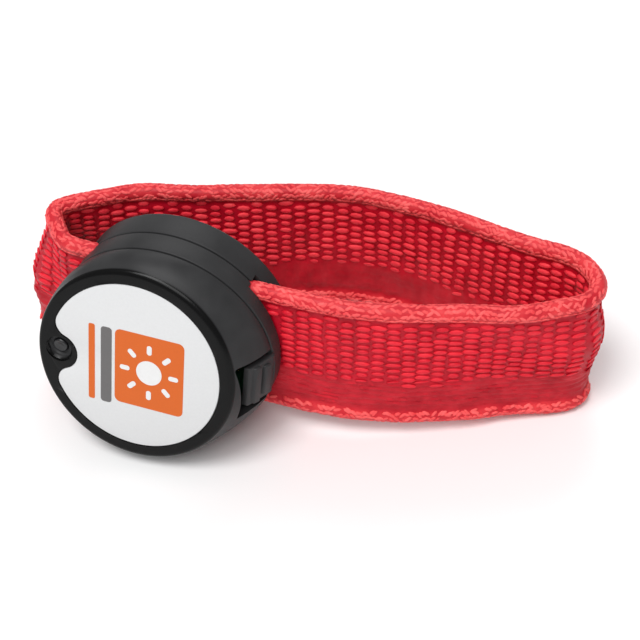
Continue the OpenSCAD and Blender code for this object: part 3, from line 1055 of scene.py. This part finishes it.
printing = {
    "panel": (2.7, -0.4, 11.9, 13.6),      # centre and size on the face
    "panelRound": 1.0,
    "thick": 0.03,
    "bars": [(-7.3, -0.85, 1.1, 14.1, "orange"), (-4.75, -0.85, 1.9, 14.1, "grey")],
    "sun": 2.2,
    "rays": 8,
    "ray": (1.7, 0.85, 0.4, (4.2, 0)),     # length, width, rounding, distance from the sun's middle
    "sunk": 0.02,                          # how far the ink starts below the label's surface
}


def roundedBox(width, height, round, centre):
    points = []
    for sx, sy, start in ((1, 1, 0), (-1, 1, 90), (-1, -1, 180), (1, -1, 270)):
        middle = (centre[0] + sx * (width / 2 - round), centre[1] + sy * (height / 2 - round))
        points += arc(middle, round, start, start + 90, 6)
    return points


def inkPatch(name, outline, ink, layer=0):
    bottom = -face["recess"] + label["lift"] + label["thick"] - printing["sunk"] + layer * printing["thick"]
    obj = facePlate(name, lambda grow: outline, bottom, bottom + printing["sunk"] + printing["thick"])
    return finishPiece(obj, "cap", paint[ink])


def makePrinting():
    x, y, width, height = printing["panel"]
    inkPatch("label_panel", roundedBox(width, height, printing["panelRound"], (x, y)), "orange")
    for i, (bx, by, bw, bh, ink) in enumerate(printing["bars"]):
        inkPatch("label_bar_%d" % (i + 1), roundedBox(bw, bh, min(bw, bh) * 0.3, (bx, by)), ink)
    inkPatch("label_sun", [p[:2] for p in circle(printing["sun"], 0, 48, (x, y))], "white", 1)
    ray = roundedBox(*printing["ray"])
    for i in range(printing["rays"]):
        spokes = [turned(px, py, 2 * math.pi * i / printing["rays"]) for px, py in ray]
        inkPatch("label_ray_%d" % (i + 1), [(x + px, y + py) for px, py in spokes], "white", 1)


makePrinting()
print("label printed")


boardPads = {
    "count": 36, "ring": 14.6, "radius": 0.42, "thick": 0.06, "top": 9.7,
    "offSwitch": 3.2, "offCatch": (11, 6.5),     # no pads near the switch or the catch
}


def padTree():
    tree, given, output = newTree("boardPads", [
        ("Radius", "NodeSocketFloat", 0.0004), ("Thickness", "NodeSocketFloat", 0.00006),
        ("Material", "NodeSocketMaterial", None)])
    pad = tree.nodes.new("GeometryNodeMeshCylinder")
    pad.inputs["Vertices"].default_value = 20
    tree.links.new(given.outputs["Radius"], pad.inputs["Radius"])
    tree.links.new(given.outputs["Thickness"], pad.inputs["Depth"])
    place = tree.nodes.new("GeometryNodeInstanceOnPoints")
    tree.links.new(given.outputs["Geometry"], place.inputs["Points"])
    tree.links.new(pad.outputs["Mesh"], place.inputs["Instance"])
    tree.links.new(alignRotation(tree, "Z", named(tree, "out", "FLOAT_VECTOR")), place.inputs["Rotation"])
    finishTree(tree, place.outputs["Instances"], given.outputs["Material"], output)
    return tree


def makeBoardPads():
    anchors = []
    for i in range(boardPads["count"]):
        angle = 2 * math.pi * (i + 0.5) / boardPads["count"]
        spot = (boardPads["ring"] * math.cos(angle), boardPads["ring"] * math.sin(angle))
        nearSwitch = math.hypot(spot[0] - button["x"], spot[1] - button["y"]) < boardPads["offSwitch"]
        nearCatch = spot[0] > boardPads["offCatch"][0] and abs(spot[1]) < boardPads["offCatch"][1]
        if not nearSwitch and not nearCatch:
            at = toRow((*spot, boardPads["top"] + boardPads["thick"] / 2)) / mm
            anchors.append((at, (1, 0, 0), (0, -1, 0), (1, 1, 1)))
    pads = growTree(anchorPoints("board_pads", anchors), padTree(), {
        "Radius": boardPads["radius"] * mm, "Thickness": boardPads["thick"] * mm, "Material": paint["gold"]})
    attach(pads, "wristband")


makeBoardPads()
print("board pads made")


# the CAD shapes that stay get their finishes by slot
slotPaint = {
    "guide_clear": "guide", "clamp_steel": "steel", "screw_steel": "steel", "board_green": "board",
    "led_lens": "lens", "switch_metal": "steel", "plunger_plastic": "amber", "chip_black": "chip",
    "resistor_dark": "chip", "cell_steel": "cell", "holder_grey": "holder", "contact_gold": "gold",
    "pad_foam": "foam", "shell_black": "shell", "cap_black": "cap", "label_white": "label",
    "button_black": "button", "webbing_red": "ground",
}


def paintFrameNodes():
    for name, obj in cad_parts.items():
        for slot in obj.material_slots:
            key = next((k for k in slotPaint if slot.material and k in slot.material.name), None)
            if key:
                slot.material = paint[slotPaint[key]]
            else:
                print("no finish for", name, slot.material.name if slot.material else None)


paintFrameNodes()

studio = {
    "azimuth": 19.80, "elevation": 42.07, "distance": 265.3, "lens": 90.2,
    "target": (20, 5, 0), "right": 0.87, "up": -1.63,
    "floorTilt": 0.091, "floorAt": -18.52, "floorReach": 2000,
    "floorColor": (0.93, 0.93, 0.93), "sky": 0.36,
    "lights": [                                  # name, place in metres, size, watts
        ("key", (-0.32, -0.70, 1.62), 0.8, 18.5),
        ("front", (0.23, -1.04, 1.38), 0.9, 10.0),
        ("back", (-0.35, 1.04, 1.15), 0.9, 5.3),
    ],
}


def addCamera():
    a, e = math.radians(studio["azimuth"]), math.radians(studio["elevation"])
    back = Vector((math.sin(a) * math.cos(e), -math.cos(a) * math.cos(e), math.sin(e)))
    right = Vector((math.cos(a), math.sin(a), 0))
    up = back.cross(right)
    aim = (Vector(studio["target"]) + right * studio["right"] + up * studio["up"]) * mm
    data = bpy.data.cameras.new("camera")
    data.lens, data.sensor_width = studio["lens"], 36
    data.clip_start, data.clip_end = 0.01, 10
    camera = addObject("camera", data)
    camera.location = aim + back * studio["distance"] * mm
    camera.rotation_euler = (-back).to_track_quat("-Z", "Y").to_euler()
    bpy.context.scene.camera = camera


def addLight(name, where, size, power):
    data = bpy.data.lights.new(name, "AREA")
    data.shape, data.size, data.energy = "DISK", size, power
    lamp = addObject(name, data)
    lamp.location = where
    aim = Vector(studio["target"]) * mm
    lamp.rotation_euler = (aim - Vector(where)).to_track_quat("-Z", "Y").to_euler()


def addStudio():
    reach = studio["floorReach"]
    corners = [(x, y, studio["floorAt"] + studio["floorTilt"] * x) for x, y in
               ((-reach, -reach), (reach, -reach), (reach, reach), (-reach, reach))]
    floor = makeObject("studio_floor", [Vector(c) * mm for c in corners], [(0, 1, 2, 3)])
    floor.data.materials.append(newMaterial("studio floor", studio["floorColor"], 0.7)[0])
    world = bpy.data.worlds.new("studio")
    world.use_nodes = True
    sky = world.node_tree.nodes["Background"]
    sky.inputs["Color"].default_value = (1, 1, 1, 1)
    sky.inputs["Strength"].default_value = studio["sky"]
    bpy.context.scene.world = world
    for lamp in studio["lights"]:
        addLight(*lamp)
    bpy.context.scene.view_settings.view_transform = "Standard"


addCamera()
addStudio()
print("studio set")
